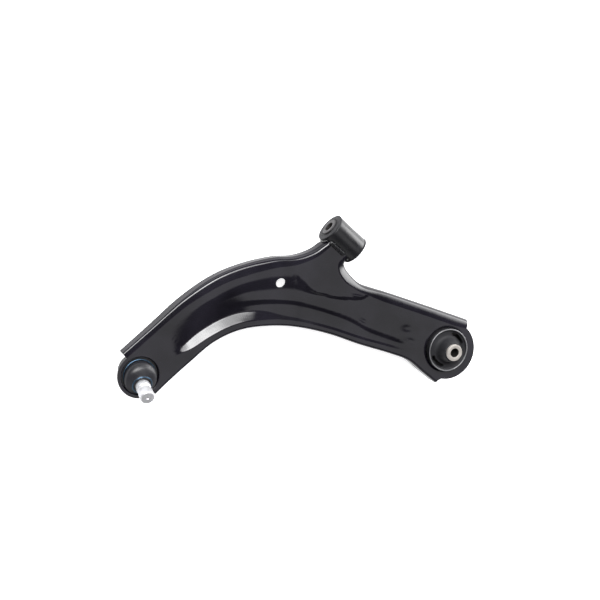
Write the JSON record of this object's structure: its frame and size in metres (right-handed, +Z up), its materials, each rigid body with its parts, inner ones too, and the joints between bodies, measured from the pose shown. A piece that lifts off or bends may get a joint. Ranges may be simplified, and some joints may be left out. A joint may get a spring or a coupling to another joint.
{
  "type": "suspension control arm",
  "caption": "Stamped steel boomerang control arm with a horizontal front bush, an upright rear bush and a booted ball joint with a pinch stud.",
  "frame": {"origin": "centre of the front bush's bolt bore", "axes": "+Z up along the rear bush's axis, towards the stud's side; +Y along the front bush's axis, away from the rear bush; -X outboard, towards the ball joint"},
  "size_m": [0.358, 0.3967, 0.0736],
  "materials": {
    "arm_paint": "glossy black cathodic dip paint",
    "weld_paint": "black paint over a rippled weld bead",
    "rear_can_paint": "black paint, thin on the rim",
    "can_steel": "phosphated steel",
    "sleeve_steel": "turned steel end faces",
    "housing_steel": "black coated forging",
    "spring_steel": "blackened spring steel",
    "zinc_ring": "blue zinc plate",
    "stud_steel": "bright ground steel",
    "bush_rubber": "matt moulded rubber",
    "boot_rubber": "satin moulded rubber",
    "race_plastic": "natural acetal"
  },
  "bodies": {
    "arm": {"arm_shell": "arm_paint", "front_bush_tube": "arm_paint", "neck_weld_top": "weld_paint", "neck_weld_front": "weld_paint", "neck_weld_rear": "weld_paint", "front_bush_outer_sleeve": "can_steel", "front_bush_rubber": "bush_rubber", "rear_bush_outer_sleeve": "rear_can_paint", "rear_bush_rubber": "bush_rubber", "ball_joint_housing": "housing_steel", "bearing_race": "race_plastic", "housing_cover": "can_steel", "housing_snap_ring": "spring_steel", "boot_base_ring": "zinc_ring"},
    "front_sleeve": {"front_bush_inner_sleeve": "sleeve_steel"},
    "rear_sleeve": {"rear_bush_inner_sleeve": "sleeve_steel"},
    "boot": {"dust_boot": "boot_rubber"},
    "stud_ring": {"boot_stud_ring": "zinc_ring"},
    "stud": {"ball_stud": "stud_steel"}
  },
  "joints": [
    {"name": "front_bush_twist", "type": "hinge", "parent": "arm", "child": "front_sleeve", "pos_m": [0, 0, 0], "axis": [0, 1, 0], "range_deg": [-20, 20], "stiffness_Nm_per_rad": 60, "deforming": ["front_bush_rubber"]},
    {"name": "rear_bush_tilt", "type": "hinge", "parent": "arm", "child": "rear_sleeve", "pos_m": [-0.0165, -0.215, 0], "axis": [0, 1, 0], "range_deg": [-8, 8], "stiffness_Nm_per_rad": 150, "deforming": ["rear_bush_rubber"]},
    {"name": "stud_direction", "type": "hinge", "parent": "arm", "child": "boot", "pos_m": [-0.2958, 0.1015, -0.003], "axis": [0, 0, 1], "continuous": true},
    {"name": "stud_lean", "type": "hinge", "parent": "boot", "child": "stud_ring", "pos_m": [-0.2958, 0.1015, -0.003], "axis": [0.682, -0.7314, 0], "range_deg": [-46, 4], "deforming": ["dust_boot"]},
    {"name": "stud_spin", "type": "hinge", "parent": "stud_ring", "child": "stud", "pos_m": [-0.2958, 0.1015, -0.003], "axis": [-0.274, -0.2555, 0.9272], "continuous": true}
  ]
}
